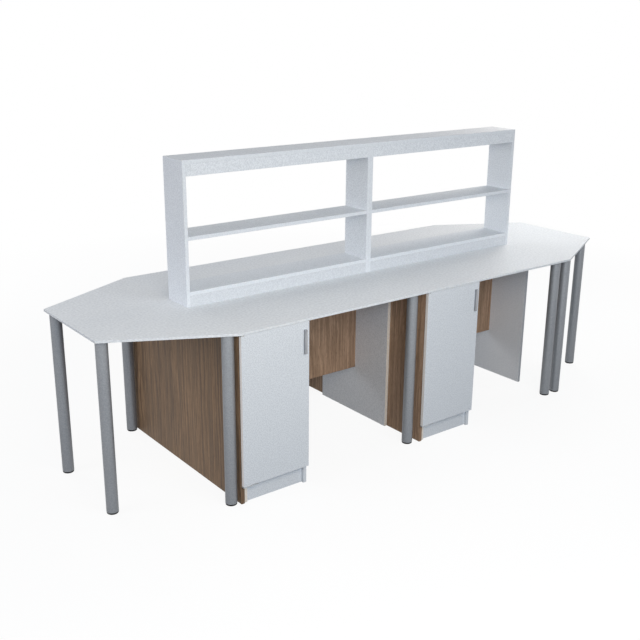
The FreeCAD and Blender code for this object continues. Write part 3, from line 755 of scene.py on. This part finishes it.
def fix_brackets():
    """Four screws in each angle bracket: two up into the top, two into the board."""
    spots = []
    for solid in solids_of("angle_brackets"):
        low, high = corners_of(solid)
        foot = [p.x for p in solid if p.z < low.z + MM]
        board_on_left = max(foot) < (low.x + high.x) / 2
        for y in (low.y + BRACKET_HOLE, high.y - BRACKET_HOLE):
            if board_on_left:
                spots.append(at(low.x + BRACKET_SKIN, y, low.z + BRACKET_HOLE, FACING_RIGHT))
                spots.append(at(high.x - BRACKET_HOLE, y, high.z - BRACKET_SKIN, FACING_DOWN))
            else:
                spots.append(at(high.x - BRACKET_SKIN, y, low.z + BRACKET_HOLE, FACING_LEFT))
                spots.append(at(low.x + BRACKET_HOLE, y, high.z - BRACKET_SKIN, FACING_DOWN))
    fit(copies(pan_head(*BRACKET_SCREW_MM), spots), "bracket_screws", "bench",
        "hardware_steel")


PLATE_HOLES = (10 * MM, 26 * MM)  # from the plate's end away from the pivot
PLATE_HOLE_INSET = 8 * MM  # from the plate's edge inside the cupboard
PLATE_SCREW_MM = (3.2, 1.6)


def fix_pivot_plates():
    """Two screws in each pivot plate, clear of the leaf that swings in front of them."""
    spots = []
    for solid in solids_of("pivot_plates"):
        low, high = corners_of(solid)
        y = high.y - PLATE_HOLE_INSET if high.y < 0 else low.y + PLATE_HOLE_INSET
        spots += [at(high.x - hole, y, low.z, FACING_DOWN) for hole in PLATE_HOLES]
    fit(copies(pan_head(*PLATE_SCREW_MM), spots), "pivot_plate_screws", "bench",
        "hardware_steel")


DOORS = ("front_left", "front_right", "back_left", "back_right")
HANDLE_HOLE = 4 * MM  # from the handle's end to the middle of its screw
HANDLE_SCREW_MM = (4.2, 2.0)
BUFFER_INSET = 7 * MM  # from the door's free edge
BUFFER_DROP = 40 * MM  # from the door's upper and lower edge
BUFFER_PROFILE_MM = ((0, 0), (4.5, 0), (4.5, 1.1), (4.1, 1.7), (3.2, 2.0), (0, 2.0))


def fix_doors():
    """On the inside of each door, the two screws of its handle and two soft buffers."""
    for door in DOORS:
        body = "door_" + door
        low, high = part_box(body)
        grip_low, grip_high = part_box("handle_" + door)
        inside, facing = ((high.y, FACING_BACK) if door.startswith("front")
                          else (low.y, FACING_FRONT))
        middle = (grip_low.x + grip_high.x) / 2
        screws = [at(middle, inside, z, facing)
                  for z in (grip_low.z + HANDLE_HOLE, grip_high.z - HANDLE_HOLE)]
        fit(copies(pan_head(*HANDLE_SCREW_MM), screws), "handle_screws_" + door, body,
            "hardware_steel")
        buffers = [at(high.x - BUFFER_INSET, inside, z, facing)
                   for z in (low.z + BUFFER_DROP, high.z - BUFFER_DROP)]
        fit(copies(turned(BUFFER_PROFILE_MM), buffers), "door_buffers_" + door, body,
            "foot_plastic", rubber)


SEAL_SECTION_MM = ((0, 0), (1.2, 0), (1.2, 2.88), (0.54, 4.8), (0.12, 4.8), (0, 4.464))
SEAL_START = 15 * MM  # from the hinge edge, clear of the fixed pivot plate's corner
SEAL_END = 1 * MM  # from the free edge


def seal_doors():
    """A white dust lip on each door's top edge, which closes the slit under the worktop.

    Its section is drawn by depth from the door's outer face and rise above its top edge.
    """
    for door in DOORS:
        low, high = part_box("door_" + door)
        outside, inward = (low.y, MM) if door.startswith("front") else (high.y, -MM)
        lip = bmesh.new()
        ends = [[lip.verts.new((x, outside + inward * depth, high.z + rise * MM))
                 for depth, rise in SEAL_SECTION_MM]
                for x in (low.x + SEAL_START, high.x - SEAL_END)]
        lip.faces.new(ends[0])
        lip.faces.new(ends[1][::-1])
        for corner in range(len(SEAL_SECTION_MM)):
            after = (corner + 1) % len(SEAL_SECTION_MM)
            lip.faces.new((ends[0][corner], ends[1][corner], ends[1][after], ends[0][after]))
        bmesh.ops.recalc_face_normals(lip, faces=lip.faces)
        fit(lip, "door_seal_" + door, "door_" + door, "white_board",
            finishes["white_board"][X])


PIN_PROFILE_MM = ((0, 0), (3, 0), (3, 1.8), (2.4, 2.2), (2.4, 2.6), (3, 3.0), (3, 8.0),
                  (2.4, 8.8), (0, 9.0))
PIN_RADIUS = 3 * MM
PIN_SIDES = 20
PIN_FROM_END = 50 * MM


def pin_shelves():
    """Four pins under each shelf inside the cupboards."""
    spots = []
    for solid in solids_of("cabinet_shelves"):
        low, high = corners_of(solid)
        for y in (low.y + PIN_FROM_END, high.y - PIN_FROM_END):
            spots += [at(low.x, y, low.z - PIN_RADIUS, FACING_RIGHT),
                      at(high.x, y, low.z - PIN_RADIUS, FACING_LEFT)]
    fit(copies(turned(PIN_PROFILE_MM, PIN_SIDES), spots), "shelf_pins", "bench",
        "hardware_steel")


FOOT_PROFILE_MM = ((0, 0.6), (17.5, 0.6), (18.5, 0), (21.0, 0), (22.5, 0.4), (23.6, 1.5),
                   (24, 3.0), (24, 4.2), (23.6, 4.4), (23.6, 4.8), (24, 5.0), (24, 7.4),
                   (23.4, 8.0), (21.6, 8.0), (21.0, 6.6), (9.0, 6.6), (8.4, 8.0), (5.2, 8.0),
                   (5.0, 7.0), (0, 7.0))
FOOT_SIDES = 48
STEM = {"radius_mm": 5.0, "root_mm": 4.2, "pitch_mm": 1.5, "low_mm": 7.2, "high_mm": 54.2}


def make_feet():
    """A moulded black foot with a gripping rim on a zinc-plated threaded stem, twelve times."""
    for node_name in sorted(frame["nodes"]):
        if not node_name.startswith("foot_"):
            continue
        low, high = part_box(node_name)
        spot = at((low.x + high.x) / 2, (low.y + high.y) / 2, low.z, FACING_UP)
        disc = fit(copies(turned(FOOT_PROFILE_MM, FOOT_SIDES), [spot]), node_name + "_disc",
                   node_name, "foot_plastic")
        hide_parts(node_name)
        fit(copies(threaded_rod(**STEM), [spot]), node_name + "_stem", node_name,
            "hardware_steel")


set_camera()
light_room()
lay_floor()
finishes = make_finishes()
rubber = moulded_plastic("buffer_rubber", RUBBER, RUBBER_GRIT_MM, RUBBER_ROUGHNESS)
dress_frame()
fix_brackets()
fix_pivot_plates()
fix_doors()
seal_doors()
pin_shelves()
make_feet()
